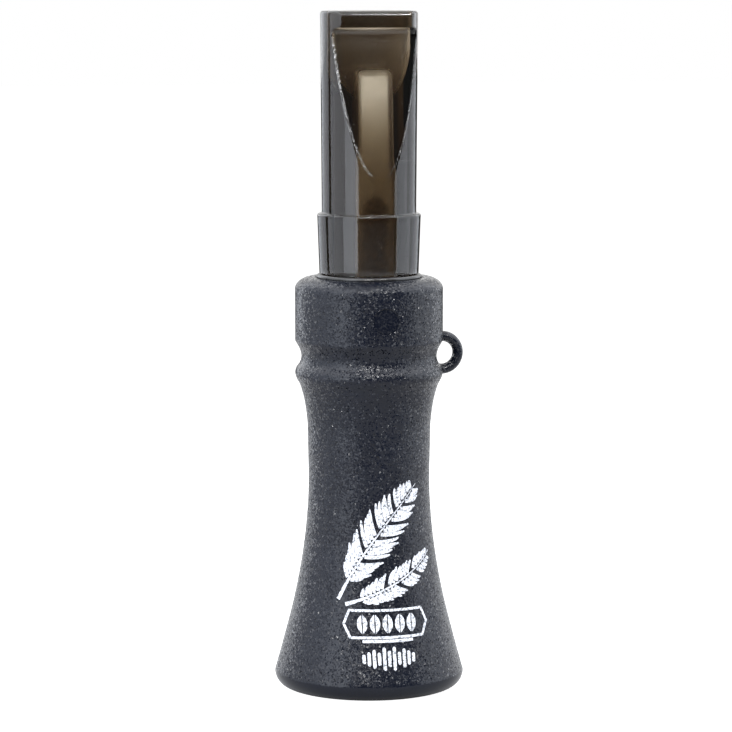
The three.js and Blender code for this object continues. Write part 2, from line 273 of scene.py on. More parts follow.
# Print on the front of the bell, [right, up] in the plane of the print.
INK_LIFT = 0.05
INK_DEPTH = 0.07
INK_STEP = 0.5
INK_LINE = 0.42
MITRE_GAP = 0.004
FRAME_ROWS = 24
LONG_FEATHER = {"base": (-8.6, 17.6), "tip": (6.6, 37.3), "bow": 0.9, "half_width": 3.3, "barbs": 25,
                "skipped": ((7, 12, 18), (5, 11, 15, 20))}
SHORT_FEATHER = {"base": (-7.3, 16.8), "tip": (9.9, 25.2), "bow": -0.9, "half_width": 2.0, "barbs": 20,
                 "skipped": ((6, 13), (9, 14))}
QUILL_STEPS = 200
QUILL_EVERY = 8
QUILL_SHARES = (0, 0.2, 1)
QUILL_HALF_WIDTHS = (0.34, 0.2, 0.05)
BARBS_FROM = 0.17
BARBS_SPAN = 0.81
BARE_PITCHES = 4
BARB_ROOT = 0.32
BARB_SWEEP = 0.95
BARB_BEND = (0.62, 0.38)
BARB_RAGGED = (0.09, 2.4)  # how much the reach varies, and how fast from barb to barb
BARB_HALF_WIDTHS = (0.36, 0.38, 0.38, 0.37, 0.34, 0.28, 0.12)  # of the pitch, from root to tip
BADGE_Z = (11.2, 15.8)
BADGE_HALF = (6.7, 7.8)
BADGE_LEAVES = 5
BADGE_BAR = (4.6, 10.35, 10.85)
BADGE_BAR_ROWS = 20
LEAF_MARGIN = 1.1
LEAF_INSET = 0.75
LEAF_VEIN = 0.12
LEAF_BULGE = 0.4
LEAF_TIP_WIDTH = 0.04
LEAF_WIDEST = 0.38
LEAF_ROWS = 12
WAVE_Z = 7.6
WAVE_HALF_HEIGHTS = (0.5, 0.9, 1.3, 0.8, 1.7, 1.1, 1.7, 0.8, 1.3, 0.9, 0.5)
WAVE_PITCH = 0.9
WAVE_BAR = 0.58
WAVE_END_DEG = (8, 90)
WAVE_END_ROWS = 6


# ---------------------------------------------------------------- outlines

def line(start, end, step):
    """Evenly spaced points from start to end, without the first."""
    start, end = np.array(start, float), np.array(end, float)
    count = max(1, math.ceil(np.linalg.norm(end - start) / step))
    return [tuple(start + (end - start) * i / count) for i in range(1, count + 1)]


def arc(centre, radius, from_deg, to_deg, count):
    """Points along an arc, without the first."""
    angles = np.radians(np.linspace(from_deg, to_deg, count + 1)[1:])
    return [(centre[0] + radius * math.cos(a), centre[1] + radius * math.sin(a)) for a in angles]


def bezier(start, corner, end, count):
    """Points along a quadratic curve, without the first."""
    points = []
    for t in np.linspace(0, 1, count + 1)[1:]:
        weights = ((1 - t) ** 2, 2 * t * (1 - t), t ** 2)
        points.append(tuple(np.dot(weights, (start, corner, end))))
    return points


def smooth(through, step):
    """A cubic curve through the given points, spaced by about step, without the first point."""
    p = np.array(through, float)
    gaps = np.linalg.norm(np.diff(p, axis=0), axis=1)
    t = np.concatenate([[0], np.cumsum(gaps)])
    slope = np.gradient(p, t, axis=0)
    count = math.ceil(t[-1] / step)
    points = []
    for at in np.linspace(0, t[-1], count + 1)[1:]:
        i = min(np.searchsorted(t, at, side="right") - 1, len(gaps) - 1)
        s, h = (at - t[i]) / gaps[i], gaps[i]
        points.append(tuple(
            (2 * s ** 3 - 3 * s ** 2 + 1) * p[i] + (s ** 3 - 2 * s ** 2 + s) * h * slope[i]
            + (3 * s ** 2 - 2 * s ** 3) * p[i + 1] + (s ** 3 - s ** 2) * h * slope[i + 1]))
    return points


def rounded(points, radius, count=4):
    """The same closed outline with its corners rounded."""
    result = []
    total = len(points)
    for i, corner in enumerate(points):
        here = np.array(corner, float)
        before = np.array(points[i - 1], float) - here
        after = np.array(points[(i + 1) % total], float) - here
        cut = min(radius, np.linalg.norm(before) * LONGEST_ROUND,
                  np.linalg.norm(after) * LONGEST_ROUND)
        start = here + before / np.linalg.norm(before) * cut
        end = here + after / np.linalg.norm(after) * cut
        result.append(tuple(start))
        result.extend(bezier(start, here, end, count))
    return result


def ellipse(centre, across, along, count):
    """A closed outline, anticlockwise, from its half widths in the outline's two directions."""
    angles = np.linspace(0, 2 * math.pi, count, endpoint=False)
    return [(centre[0] + across * math.cos(a), centre[1] + along * math.sin(a)) for a in angles]


# ---------------------------------------------------------------- meshes

def new_object(name, mesh):
    piece = bpy.data.objects.new(name, mesh)
    bpy.context.scene.collection.objects.link(piece)
    return piece


def mesh_object(name, vertices_mm, faces):
    mesh = bpy.data.meshes.new(name)
    mesh.from_pydata([tuple(v) for v in np.asarray(vertices_mm, float) * MM], [], faces)
    mesh.validate()
    return new_object(name, mesh)


def loft(name, rows):
    """A closed skin over rows of points. Each row is a closed loop, and the last row joins the first."""
    rows = np.asarray(rows, float)
    count, width = rows.shape[:2]
    faces = []
    for i in range(count):
        this, after = i * width, (i + 1) % count * width
        for j in range(width):
            k = (j + 1) % width
            faces.append((this + j, this + k, after + k, after + j))
    return mesh_object(name, rows.reshape(-1, 3), faces)


def around(radii, z, phi):
    """One loop of points about the Z axis. phi runs from the front, -Y, towards +X."""
    radii = np.broadcast_to(radii, phi.shape)
    return np.stack([radii * np.sin(phi), -radii * np.cos(phi), np.full(phi.shape, float(z))], axis=-1)


def turned(name, outline, steps):
    """A closed anticlockwise [radius, z] outline turned about the Z axis."""
    phi = np.linspace(0, 2 * math.pi, steps, endpoint=False)
    return loft(name, [around(r, z, phi) for r, z in outline])


def extruded(name, outline, axis, start, end):
    """An [across, z] outline extruded along X or Y. The outline runs anticlockwise."""
    bm = bmesh.new()
    ends = []
    for level in (start, end):
        if axis == "Y":
            corners = [(a * MM, level * MM, z * MM) for a, z in outline]
        else:
            corners = [(level * MM, a * MM, z * MM) for a, z in outline]
        ends.append([bm.verts.new(c) for c in corners])
    count = len(outline)
    bm.faces.new(ends[0])
    bm.faces.new(list(reversed(ends[1])))
    for i in range(count):
        k = (i + 1) % count
        bm.faces.new((ends[0][i], ends[1][i], ends[1][k], ends[0][k]))
    bmesh.ops.recalc_face_normals(bm, faces=bm.faces)
    mesh = bpy.data.meshes.new(name)
    bm.to_mesh(mesh)
    bm.free()
    return new_object(name, mesh)


def apply_modifiers(piece):
    depsgraph = bpy.context.evaluated_depsgraph_get()
    mesh = bpy.data.meshes.new_from_object(piece.evaluated_get(depsgraph))
    piece.modifiers.clear()
    piece.data = mesh


def combine(piece, operation, *others):
    """Joins or cuts piece by the others, which are used up."""
    for other in others:
        modifier = piece.modifiers.new(operation, "BOOLEAN")
        modifier.operation = operation
        modifier.solver = "EXACT"
        modifier.object = other
        apply_modifiers(piece)
        bpy.data.objects.remove(other)
    return piece


def bevelled(piece, width_mm, segments=2, angle_deg=30):
    modifier = piece.modifiers.new("edges", "BEVEL")
    modifier.width = width_mm * MM
    modifier.segments = segments
    modifier.limit_method = "ANGLE"
    modifier.angle_limit = math.radians(angle_deg)
    apply_modifiers(piece)
    return piece


def finish_surface(piece, sharp_deg=35):
    piece.data.shade_smooth()
    piece.data.set_sharp_from_angle(angle=math.radians(sharp_deg))


# ---------------------------------------------------------------- materials

class Nodes:
    """A node tree, built one node at a time. An input given as another node's output is linked."""

    def __init__(self, tree):
        self.tree = tree

    def add(self, kind, inputs=None, output=0, **settings):
        node = self.tree.nodes.new("ShaderNode" + kind)
        for key, value in settings.items():
            setattr(node, key, value)
        self.fill(node, inputs or {})
        return node.outputs[output]

    def fill(self, node, inputs):
        for key, value in inputs.items():
            if isinstance(value, bpy.types.NodeSocket):
                self.tree.links.new(value, node.inputs[key])
            else:
                node.inputs[key].default_value = value

    def place(self):
        """Object coordinates in millimetres."""
        return self.scaled(self.add("TexCoord", output="Object"), 1 / MM)

    def scaled(self, vector, factor):
        return self.add("VectorMath", {0: vector, "Scale": factor}, operation="SCALE")

    def length(self, vector):
        return self.add("VectorMath", {0: vector}, "Value", operation="LENGTH")

    def height(self, vector):
        return self.add("SeparateXYZ", {0: vector}, "Z")

    def noise(self, vector, scale, detail=2.0, roughness=0.5):
        return self.add("TexNoise", {"Vector": vector, "Scale": scale, "Detail": detail,
                                     "Roughness": roughness})

    def patches(self, vector, scale, low, high, to_low=0.0, to_high=1.0, **kind):
        """Noise that is to_low wherever it is under low, and to_high wherever it is over high."""
        return self.ramp(self.noise(vector, scale, **kind), low, high, to_low, to_high)

    def cells(self, vector, scale, output="Distance", **settings):
        return self.add("TexVoronoi", {"Vector": vector, "Scale": scale}, output, **settings)

    def attribute(self, name):
        return self.add("Attribute", output="Fac", attribute_name=name)

    def math(self, operation, a, b=0.0):
        return self.add("Math", {0: a, 1: b}, operation=operation)

    def ramp(self, value, low, high, to_low=0.0, to_high=1.0):
        return self.add("MapRange", {"Value": value, "From Min": low, "From Max": high, "To Min": to_low,
                                     "To Max": to_high})

    def curve(self, value, points):
        """What value turns into, on straight lines through the points, whose values lie between 0 and 1."""
        top = max(result for _, result in points)
        ends = [(0, points[0][1]), *points, (1, points[-1][1])]
        node = self.tree.nodes.new("ShaderNodeFloatCurve")
        curve = node.mapping.curves[0]
        for at, result in points:
            curve.points.new(at, result / top)
        for point, (at, result) in zip(curve.points, ends):
            point.location = (at, result / top)
            point.handle_type = "VECTOR"
        node.mapping.update()
        self.fill(node, {"Value": value})
        return self.math("MULTIPLY", node.outputs[0], top)

    def mix(self, factor, a, b):
        return self.add("Mix", {0: factor, 6: a, 7: b}, 2, data_type="RGBA")

    def bump(self, height, distance_mm, strength=1.0):
        return self.add("Bump", {"Height": height, "Distance": distance_mm * MM, "Strength": strength})


class Shader(Nodes):
    """The nodes of a new material."""

    def __init__(self, name):
        self.material = bpy.data.materials.new(name)
        self.material.use_nodes = True
        super().__init__(self.material.node_tree)

    def set(self, **inputs):
        surface = self.tree.nodes["Principled BSDF"]
        self.fill(surface, {key.replace("_", " "): value for key, value in inputs.items()})

    def set_volume(self, volume):
        self.fill(self.tree.nodes["Material Output"], {"Volume": volume})


def grain(shader, place):
    """Height of the spark-eroded grain."""
    coarse = shader.noise(place, GRAIN_PER_MM, detail=3.0, roughness=0.55)
    pits = shader.cells(place, PITS_PER_MM, feature="SMOOTH_F1")
    return shader.math("ADD", coarse, shader.math("MULTIPLY", pits, PITS_SHARE))


def glinting(shader, place, normal, tilt):
    """Turns the normal at random from one facet to the next: most a little, a few a lot."""
    facets = shader.cells(place, FACETS_PER_MM, "Color")
    centred = shader.add("VectorMath", {0: facets, 1: (0.5, 0.5, 0.5)}, operation="SUBTRACT")
    amount = shader.math("MULTIPLY", shader.math("POWER", shader.length(centred), FACET_RARITY), tilt)
    turned_by = shader.add("VectorMath", {0: shader.scaled(centred, amount), 1: normal}, operation="ADD")
    return shader.add("VectorMath", {0: turned_by}, operation="NORMALIZE")


def barrel_plastic():
    """Black plastic with a grain that glints, except on the rim and less in the dimple."""
    shader = Shader("barrel_plastic")
    place = shader.place()
    above_rim = shader.ramp(shader.height(place), *GRAIN_FROM_Z)
    from_dimple = shader.add("VectorMath", {0: place, 1: (0, -GRIP_R, DIMPLE_Z)}, operation="SUBTRACT")
    beside_dimple = shader.ramp(shader.length(from_dimple), DIMPLE_R - DIMPLE_EDGE, DIMPLE_R + DIMPLE_EDGE,
                                DIMPLE_TEXTURE, 1.0)
    textured = shader.math("MULTIPLY", above_rim, beside_dimple)
    hollows = shader.bump(shader.math("MULTIPLY", grain(shader, place), textured), GRAIN_BUMP)
    tilt = shader.math("MULTIPLY", textured, FACET_TILT)
    tone = shader.patches(place, BARREL_TONES_PER_MM, 0.35, 0.7, detail=3.0)
    shader.set(
        Base_Color=shader.mix(tone, *BARREL_COLOURS),
        Roughness=shader.patches(place, BARREL_GLOSS_PER_MM, 0.35, 0.65, *BARREL_ROUGHNESS),
        Normal=glinting(shader, place, hollows, tilt),
        IOR=BARREL_IOR,
    )
    return shader.material


def smoke_plastic():
    """Tinted clear plastic, polished outside and dull where the mould's core was. Its edges are worn and
    carry a painted highlight in a pale colour.
    """
    shader = Shader("smoke_plastic")
    place = shader.place()
    # Pale, opaque marks: dust, and the worn edge painted as a highlight.
    chips_and_glints = shader.patches(place, CHIPS_AND_GLINTS_PER_MM, 0.48, 0.62, detail=4.0, roughness=0.7)
    wear_and_highlight = shader.math("MULTIPLY", shader.attribute("near_edge"), chips_and_glints)
    dust = shader.ramp(shader.cells(place, DUST_PER_MM), *DUST_RADII, DUST_STRENGTH, 0.0)
    dust_wear_and_highlight = shader.math("MAXIMUM", wear_and_highlight, dust)
    scuffs = shader.patches(place, SCUFFS_PER_MM, 0.5, 0.75, *SCUFF_ROUGHNESS, detail=6.0, roughness=0.7)
    dull = shader.math("MULTIPLY", shader.attribute("inside"), CORE_ROUGHNESS)
    shader.set(
        Base_Color=shader.mix(dust_wear_and_highlight, WHITE, DUST_WEAR_AND_HIGHLIGHT_COLOUR),
        Roughness=shader.math("MAXIMUM", dull, scuffs),
        Transmission_Weight=shader.math("SUBTRACT", 1.0, dust_wear_and_highlight),
        IOR=SMOKE_IOR,
    )
    shader.set_volume(shader.add("VolumeAbsorption", {"Color": SMOKE_TINT, "Density": SMOKE_DENSITY}))
    return shader.material


def plain_plastic(name, light, dark, roughness, bump_mm=0.02):
    shader = Shader(name)
    place = shader.place()
    tone = shader.patches(place, PLASTIC_TONES_PER_MM, 0.35, 0.65, detail=4.0)
    limits = [roughness + change for change in PLASTIC_SPREAD]
    shader.set(
        Base_Color=shader.mix(tone, dark, light),
        Roughness=shader.patches(place, PLASTIC_GLOSS_PER_MM, 0.3, 0.7, *limits, detail=3.0),
        Normal=shader.bump(shader.noise(place, PLASTIC_BUMPS_PER_MM, detail=3.0), bump_mm, strength=0.5),
        IOR=PLASTIC_IOR,
    )
    return shader.material


def print_ink():
    """Pad-printed ink, which misses the bottoms of the deepest grains."""
    shader = Shader("print_ink")
    place = shader.place()
    covered = shader.patches(place, INK_MISSES_PER_MM, 0.4, 0.5, detail=4.0, roughness=0.7)
    shader.set(
        Base_Color=shader.mix(covered, INK_MISSED_COLOUR, INK_COLOUR),
        Roughness=INK_ROUGHNESS,
        Normal=shader.bump(grain(shader, place), INK_BUMP),
        IOR=PLASTIC_IOR,
    )
    return shader.material


# ---------------------------------------------------------------- pieces

def barrel_outside():
    shoulder_z = BARREL_TOP_Z - SHOULDER_HEIGHT
    outline = [(BELL_R - RIM_ROUND, 0)]
    outline += arc((BELL_R - RIM_ROUND, RIM_ROUND), RIM_ROUND, -90, 0, count=12)
    outline += smooth([(BELL_R, RIM_ROUND), *FLARE_OUTSIDE, *RIDGE, *GROOVE, (GRIP_R, GRIP_BOTTOM_Z)],
                      OUTSIDE_STEP)
    outline += line((GRIP_R, GRIP_BOTTOM_Z), (GRIP_R, shoulder_z), OUTSIDE_STEP)
    outline += [(GRIP_R - SHOULDER_WIDTH * (1 - x), shoulder_z + SHOULDER_HEIGHT * y)
                for x, y in arc((0, 0), 1, 0, 90, count=14)]
    return outline


def barrel_inside():
    chamfer_end = (SOCKET_MOUTH_R - SOCKET_CHAMFER, BARREL_TOP_Z - SOCKET_CHAMFER)
    socket_end = (STOPPER_BOTTOM_R + STOPPER_GAP, SOCKET_BOTTOM_Z)
    outline = line((GRIP_R - SHOULDER_WIDTH, BARREL_TOP_Z), (SOCKET_MOUTH_R, BARREL_TOP_Z), step=0.4)
    outline += line((SOCKET_MOUTH_R, BARREL_TOP_Z), chamfer_end, step=0.3)
    outline += line(chamfer_end, socket_end, INSIDE_STEP)
    outline += line(socket_end, (THROAT_R, SOCKET_BOTTOM_Z), step=0.5)
    outline += line((THROAT_R, SOCKET_BOTTOM_Z), (THROAT_R, THROAT_BOTTOM_Z), INSIDE_STEP)
    outline += smooth([(THROAT_R, THROAT_BOTTOM_Z), *FLARE_INSIDE, (RIM_INNER_R, RIM_INNER_ROUND)],
                      INSIDE_STEP)
    outline += arc((RIM_INNER_R + RIM_INNER_ROUND, RIM_INNER_ROUND), RIM_INNER_ROUND, 180, 270, count=5)
    return outline


def grained(rows):
    """Presses the grain's deeper hollows into the rows of the outside, where it is textured."""
    for row in rows:
        depth = GRAIN_DEPTH * np.interp(row[0, 2], GRAIN_FROM_Z, (0, 1))
        if depth > 0:
            hollows = np.array([0.5 + 0.5 * noise.noise(Vector(p) * GRAIN_PER_MM) for p in row])
            radii = np.linalg.norm(row[:, :2], axis=1)
            row[:, :2] *= (1 - depth * hollows / radii)[:, None]
    return rows


def make_barrel():
    phi = np.linspace(0, 2 * math.pi, BARREL_COLUMNS, endpoint=False)
    outside = grained([around(r, z, phi) for r, z in barrel_outside()])
    piece = loft("barrel_shell", outside + [around(r, z, phi) for r, z in barrel_inside()])
    wire_r = (LOOP_R + LOOP_HOLE_R) / 2
    section = ellipse((wire_r, 0), LOOP_R - wire_r, LOOP_HALF_THICK, WIRE_POINTS)
    loop = turned("loop", section, LOOP_COLUMNS)
    upright = Matrix.Rotation(math.pi / 2, 4, "X")
    loop.data.transform(Matrix.Translation((LOOP_X * MM, 0, LOOP_Z * MM)) @ upright)
    dimple_y = -(GRIP_R - DIMPLE_DEPTH)
    dimple = extruded("dimple", ellipse((0, DIMPLE_Z), DIMPLE_R, DIMPLE_R, DIMPLE_POINTS), "Y",
                      dimple_y - CUTTER_REACH, dimple_y)
    combine(piece, "DIFFERENCE", dimple)
    combine(piece, "UNION", loop)
    finish_surface(piece)
    return piece


def printed(name, ribbons):
    """Thin closed plates of ink wrapped on the bell. A ribbon is rows of a left and a right point."""
    profile = [point for point in barrel_outside() if point[1] >= RIM_ROUND]
    radii, heights = zip(*profile)
    vertices, faces = [], []
    for ribbon in ribbons:
        rows = np.asarray(ribbon, float)
        across = max(1, math.ceil(np.linalg.norm(rows[:, 1] - rows[:, 0], axis=1).max() / INK_STEP))
        share = np.linspace(0, 1, across + 1)[None, :, None]
        flat = rows[:, :1] + (rows[:, 1:] - rows[:, :1]) * share
        for lift in (INK_LIFT, INK_LIFT - INK_DEPTH):
            radius = np.interp(flat[..., 1], heights, radii)
            phi = flat[..., 0] / radius
            out = radius + lift
            layer = np.stack([out * np.sin(phi), -out * np.cos(phi), flat[..., 1]], axis=-1)
            vertices.append(layer.reshape(-1, 3))
        faces += plate_faces(len(rows), across + 1, sum(len(v) for v in vertices[:-2]))
    piece = mesh_object(name, np.concatenate(vertices), faces)
    bm = bmesh.new()
    bm.from_mesh(piece.data)
    bmesh.ops.recalc_face_normals(bm, faces=bm.faces)
    bm.to_mesh(piece.data)
    bm.free()
    finish_surface(piece)
    return piece


def plate_faces(rows, columns, first):
    """Faces of a closed plate whose upper grid of points comes first and whose lower grid follows it."""
    faces = []
    lower = rows * columns
    for i in range(rows - 1):
        for j in range(columns - 1):
            corner = first + i * columns + j
            quad = (corner, corner + 1, corner + columns + 1, corner + columns)
            faces += [quad, tuple(v + lower for v in reversed(quad))]
    rim = [(0, j) for j in range(columns)] + [(i, columns - 1) for i in range(1, rows)]
    rim += [(rows - 1, j) for j in range(columns - 2, -1, -1)] + [(i, 0) for i in range(rows - 2, 0, -1)]
    loop = [first + i * columns + j for i, j in rim]
    for here, after in zip(loop, loop[1:] + loop[:1]):
        faces.append((after, here, here + lower, after + lower))
    return faces


def stroke(path, half_widths):
    """A ribbon along a path, with a half width at each of its points."""
    path = np.asarray(path, float)
    ahead = np.gradient(path, axis=0)
    ahead /= np.linalg.norm(ahead, axis=1)[:, None]
    side = np.stack([-ahead[:, 1], ahead[:, 0]], axis=-1) * np.broadcast_to(half_widths, len(path))[:, None]
    return np.stack([path + side, path - side], axis=1)


def closed_stroke(corners, half_width):
    """Ribbons along a closed outline, mitred at its corners, where they all but touch."""
    points = np.asarray(corners, float)
    ahead = np.roll(points, -1, axis=0) - points
    ahead /= np.linalg.norm(ahead, axis=1)[:, None]
    side = np.stack([-ahead[:, 1], ahead[:, 0]], axis=-1)
    mitre = side + np.roll(side, 1, axis=0)
    mitre *= half_width / (mitre * side).sum(axis=1)[:, None]
    left, right = points + mitre, points - mitre
    ribbons = []
    for i in range(len(points)):
        after = (i + 1) % len(points)
        ribbons.append([(left[i] + (left[after] - left[i]) * t, right[i] + (right[after] - right[i]) * t)
                        for t in np.linspace(MITRE_GAP, 1 - MITRE_GAP, FRAME_ROWS)])
    return ribbons


def feather(base, tip, bow, half_width, barbs, skipped):
    """Ribbons of a feather: a quill, and on each side barbs that sweep forward, some of them missing."""
    base, tip = np.array(base), np.array(tip)
    length = np.linalg.norm(tip - base)
    along = (tip - base) / length
    left = np.array([-along[1], along[0]])
    bend = (base + tip) / 2 + left * bow * 2
    shaft = [tuple(base), *bezier(base, bend, tip, QUILL_STEPS)]
    quill = shaft[::QUILL_EVERY]
    ribbons = [stroke(quill, np.interp(np.linspace(0, 1, len(quill)), QUILL_SHARES, QUILL_HALF_WIDTHS))]
    half_widths = np.array(BARB_HALF_WIDTHS) * length / (barbs + BARE_PITCHES)
    variation, quickness = BARB_RAGGED
    for side, missing in zip((1, -1), skipped):
        outward = left * side
        for i in range(barbs):
            if i in missing:
                continue
            share = BARBS_FROM + BARBS_SPAN * i / barbs
            root = np.array(shaft[int(share * QUILL_STEPS)]) + outward * BARB_ROOT
            reach = half_width * fullness(i / barbs)
            ragged = 1 + variation * math.sin(i * quickness + side)
            end = root + outward * reach * ragged + along * reach * BARB_SWEEP
            middle = root + outward * reach * BARB_BEND[0] + along * reach * BARB_BEND[1]
            path = [tuple(root), *bezier(root, middle, end, len(half_widths) - 1)]
            ribbons.append(stroke(path, half_widths))
    return ribbons


def fullness(share):
    """How wide a feather is at a share of its length, from 0 to 1: widest in its lower half."""
    return math.sin(math.pi * (0.12 + 0.86 * share ** 0.8)) ** 0.6


def badge():
    """A pointed frame around a row of leaves, over a bar."""
    low, high = BADGE_Z
    middle = (low + high) / 2
    shoulder, point = BADGE_HALF
    corners = [(-point, middle), (-shoulder, high), (shoulder, high), (point, middle), (shoulder, low),
               (-shoulder, low)]
    ribbons = closed_stroke(corners, INK_LINE / 2)
    pitch = 2 * (shoulder - LEAF_MARGIN) / BADGE_LEAVES
    shares = np.linspace(0, 1, LEAF_ROWS)
    bulge = LEAF_BULGE * np.sin(np.pi * shares)
    heights = low + LEAF_INSET + (high - low - 2 * LEAF_INSET) * shares
    half_widths = np.minimum(LEAF_TIP_WIDTH + bulge, LEAF_WIDEST)
    for i in range(BADGE_LEAVES):
        centre = (i - (BADGE_LEAVES - 1) / 2) * pitch
        for side in (-1, 1):
            path = np.stack([centre + side * (LEAF_VEIN + bulge), heights], axis=-1)
            ribbons.append(stroke(path, half_widths))
    half, bar_low, bar_high = BADGE_BAR
    bar = [(x, (bar_low + bar_high) / 2) for x in np.linspace(-half, half, BADGE_BAR_ROWS)]
    ribbons.append(stroke(bar, (bar_high - bar_low) / 2))
    return ribbons


def wave():
    """A row of upright bars with round ends, tall and short like a sound wave."""
    half = WAVE_BAR / 2
    turns = np.radians(np.linspace(*WAVE_END_DEG, WAVE_END_ROWS))
    end = [(half * math.cos(a), half * math.sin(a)) for a in turns]
    ribbons = []
    for i, height in enumerate(WAVE_HALF_HEIGHTS):
        x = (i - (len(WAVE_HALF_HEIGHTS) - 1) / 2) * WAVE_PITCH
        profile = [(-height - z, w) for z, w in end] + [(height + z, w) for z, w in reversed(end)]
        ribbons.append([((x - w, WAVE_Z + z), (x + w, WAVE_Z + z)) for z, w in profile])
    return ribbons


def make_seal_ring():
    wire = ellipse((SEAL_R, SEAL_Z), SEAL_WIRE_R, SEAL_WIRE_R, WIRE_POINTS)
    piece = turned("seal_ring_rubber", wire, SEAL_COLUMNS)
    finish_surface(piece, sharp_deg=60)
    return piece


def front_depth(z):
    """How far the cut front of the mouthpiece stands before the axis at height z."""
    if z <= BEVEL_TOP[1]:
        return BEVEL_TOP[0] + (BEVEL_TOP[1] - z) * BEVEL_SLOPE
    cove = [BEVEL_TOP, *bezier(BEVEL_TOP, COVE_CORNER, LIP_BOTTOM, COVE_POINTS)]
    crest_start, crest_corner = (LIP_BOTTOM[0], LIP_TOP_Z), (LIP_BOTTOM[0], CALL_TOP_Z)
    crest = [crest_start, *bezier(crest_start, crest_corner, (LIP_CREST_DEPTH, CALL_TOP_Z), CREST_POINTS)]
    depths, heights = zip(*(cove + crest))
    return float(np.interp(z, heights, depths))


def front_radius(z, phi):
    """Distance from the axis to the plane of the cut front, in each direction."""
    return front_depth(z) / np.maximum(np.cos(phi), LEAST_COSINE)


def soft_minimum(a, b, blend):
    """The smaller of two arrays, rounded over where they meet."""
    h = np.clip(0.5 + 0.5 * (b - a) / blend, 0, 1)
    return b + (a - b) * h - blend * h * (1 - h)


def tube_radius(z):
    return TUBE_BOTTOM_R + (TUBE_TOP_R - TUBE_BOTTOM_R) * (z - COLLAR_TOP_Z) / (CALL_TOP_Z - COLLAR_TOP_Z)


def levels(start, end, step):
    """Heights from start to end, without the first."""
    return [z for _, z in line((0, start), (0, end), step)]


def cut_section(radius, z, phi):
    """The outside of the mouthpiece at one height: its round outline cut by the front."""
    if z < CUT_FROM_Z:
        return np.full(phi.shape, radius)
    return soft_minimum(np.full(phi.shape, radius), front_radius(z, phi), EDGE_BLEND)


def edge_nearness(radius, z, phi):
    """1 on the border between the tube and its bevel, falling to 0 beside it: wear with a painted highlight,
    brightest at the left, where the light falls.
    """
    low, high = BEVEL_WEAR_AND_HIGHLIGHT_Z
    if not low < z < high:
        return np.zeros(phi.shape)
    distance = (front_radius(z, phi) - radius) / np.hypot(np.tan(phi), BEVEL_SLOPE)
    fading = math.sin(math.pi * (z - low) / (high - low)) ** WEAR_AND_HIGHLIGHT_FADING
    # Painted highlight: the mark is brighter on the lit left side.
    wear_and_highlight = np.where(np.sin(phi) < 0, 1.0, WEAR_AND_HIGHLIGHT_AT_RIGHT)
    return np.exp(-(distance / WEAR_AND_HIGHLIGHT_WIDTH) ** 2) * wear_and_highlight * fading


def mouthpiece_profile():
    """From the stopper's end up to where the tube's end starts to round over."""
    groove_bottom, groove_top = SEAL_Z - SEAL_GROOVE_HALF, SEAL_Z + SEAL_GROOVE_HALF
    chamfer_r = STOPPER_BOTTOM_R - STOPPER_CHAMFER
    chamfer_z = STOPPER_BOTTOM_Z + STOPPER_CHAMFER
    foot_r, foot_z = COLLAR_BOTTOM_R - COLLAR_FOOT_ROUND, groove_top + COLLAR_FOOT_ROUND
    ledge_r, ledge_z = COLLAR_TOP_R - COLLAR_ROUND, COLLAR_TOP_Z - COLLAR_ROUND
    tube_r, tube_z = TUBE_BOTTOM_R + TUBE_FOOT_ROUND, COLLAR_TOP_Z + TUBE_FOOT_ROUND
    lower = [(chamfer_r, STOPPER_BOTTOM_Z)]
    lower += arc((chamfer_r, chamfer_z), STOPPER_CHAMFER, -90, 0, count=5)
    lower += line((STOPPER_BOTTOM_R, chamfer_z), (STOPPER_TOP_R, groove_bottom), step=1.5)
    lower += line((STOPPER_TOP_R, groove_bottom), (SEAL_GROOVE_R, groove_bottom), step=0.2)
    lower += line((SEAL_GROOVE_R, groove_bottom), (SEAL_GROOVE_R, groove_top), step=0.4)
    lower += line((SEAL_GROOVE_R, groove_top), (foot_r, groove_top), step=0.2)
    lower += arc((foot_r, foot_z), COLLAR_FOOT_ROUND, -90, 0, count=3)
    lower += line((COLLAR_BOTTOM_R, foot_z), (COLLAR_TOP_R, ledge_z), step=1.0)
    lower += arc((ledge_r, ledge_z), COLLAR_ROUND, 0, 90, count=6)
    lower += line((ledge_r, COLLAR_TOP_Z), (tube_r, COLLAR_TOP_Z), step=0.2)
    lower += arc((tube_r, tube_z), TUBE_FOOT_ROUND, 270, 180, count=3)
    heights = levels(tube_z, BEVEL_TOP[1], step=0.3)
    heights += [z for _, z in bezier(BEVEL_TOP, COVE_CORNER, LIP_BOTTOM, count=22)]
    heights += levels(LIP_BOTTOM[1], LIP_TOP_Z, step=0.2)
    heights += levels(LIP_TOP_Z, CALL_TOP_Z - END_ROUND, step=0.12)
    return lower + [(tube_radius(z), z) for z in heights]


def oblong(across, along, half_x, half_y, power):
    """Distance from the centre of a rounded rectangle, or of an ellipse where power is 2."""
    return (np.abs(across / half_x) ** power + np.abs(along / half_y) ** power) ** (-1 / power)


def at_height(table, z):
    """The value at height z in a table of (z, value)."""
    return float(np.interp(z, *zip(*table)))


def quarter_round(share):
    """Height of a quarter circle of radius 1 over its base, from 0 at share 0 to 1 at share 1."""
    return math.sqrt(1 - (1 - share) ** 2)


